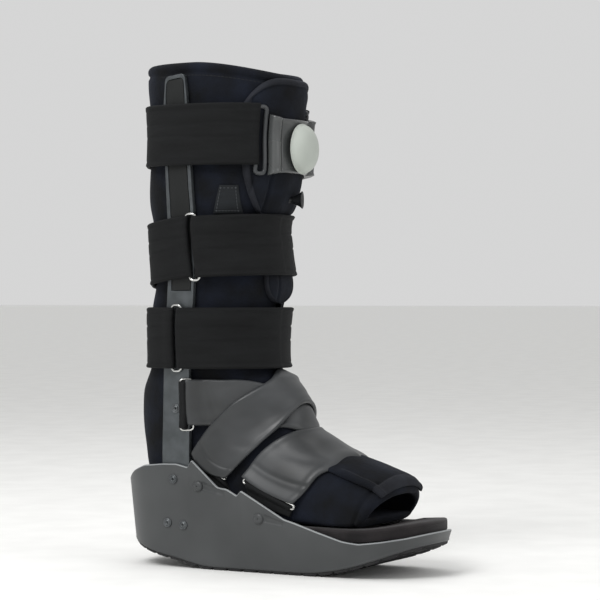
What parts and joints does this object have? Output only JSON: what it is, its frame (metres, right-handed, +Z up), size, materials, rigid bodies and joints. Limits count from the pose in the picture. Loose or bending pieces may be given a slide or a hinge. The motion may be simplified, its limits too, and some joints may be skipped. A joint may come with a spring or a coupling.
{
  "type": "medical walking boot",
  "caption": "Tall orthopaedic walking boot: rocker shell with side uprights, padded open-toe liner, wide leg straps, grey foot bands and a front air pump.",
  "frame": {"origin": "on the flat of the tread, in the boot's middle plane, under the ankle", "axes": "+Z up, -Y towards the toes, -X is the side with the rings of the middle and lower straps"},
  "size_m": [0.1336, 0.2942, 0.43],
  "materials": {
    "shell_plastic": "moulded, fine texture",
    "tread_rubber": "moulded tread",
    "footbed_foam": "closed-cell foam",
    "liner_cloth": "brushed padded cloth",
    "flap_cloth": "brushed padded cloth",
    "upright_metal": "anodised, satin",
    "insert_plastic": "moulded",
    "strap_webbing": "woven hook and loop webbing",
    "band_vinyl": "smooth coated cloth",
    "ring_wire": "nickel plated",
    "ring_plastic": "moulded, satin",
    "pump_rubber": "smooth moulded",
    "valve_plastic": "moulded",
    "screw_metal": "satin"
  },
  "bodies": {
    "root": {"shell": "shell_plastic", "outsole": "tread_rubber", "footbed": "footbed_foam", "liner": "liner_cloth", "front_flap": "flap_cloth", "toe_flap": "flap_cloth", "liner_tab": "strap_webbing", "ankle_band": "band_vinyl", "instep_band": "band_vinyl", "toe_band": "band_vinyl", "strap_top": "strap_webbing", "shin_plate": "ring_plastic", "pump_bulb": "pump_rubber", "valve_knob": "valve_plastic", "strap_middle_rear": "strap_webbing", "strap_middle_front": "strap_webbing", "ring_middle": "ring_wire", "strap_lower_rear": "strap_webbing", "strap_lower_front": "strap_webbing", "ring_lower": "ring_wire", "upright_right": "upright_metal", "upright_insert_right": "insert_plastic", "ring_top_right": "ring_plastic", "loop_ankle_right": "strap_webbing", "ring_ankle_right": "ring_wire", "loop_instep_right": "strap_webbing", "loop_toe_right": "strap_webbing", "ring_instep_right": "ring_wire", "ring_toe_right": "ring_wire", "screw_upright_right": "screw_metal", "screw_shell_top_right": "screw_metal", "screw_shell_rear_right": "screw_metal", "screw_shell_mid_right": "screw_metal", "stud_instep_right": "shell_plastic", "stud_toe_right": "shell_plastic", "upright_left": "upright_metal", "upright_insert_left": "insert_plastic", "ring_top_left": "ring_plastic", "loop_ankle_left": "strap_webbing", "ring_ankle_left": "ring_wire", "loop_instep_left": "strap_webbing", "loop_toe_left": "strap_webbing", "ring_instep_left": "ring_wire", "ring_toe_left": "ring_wire", "screw_upright_left": "screw_metal", "screw_shell_top_left": "screw_metal", "screw_shell_rear_left": "screw_metal", "screw_shell_mid_left": "screw_metal", "stud_instep_left": "shell_plastic", "stud_toe_left": "shell_plastic"}
  },
  "joints": []
}
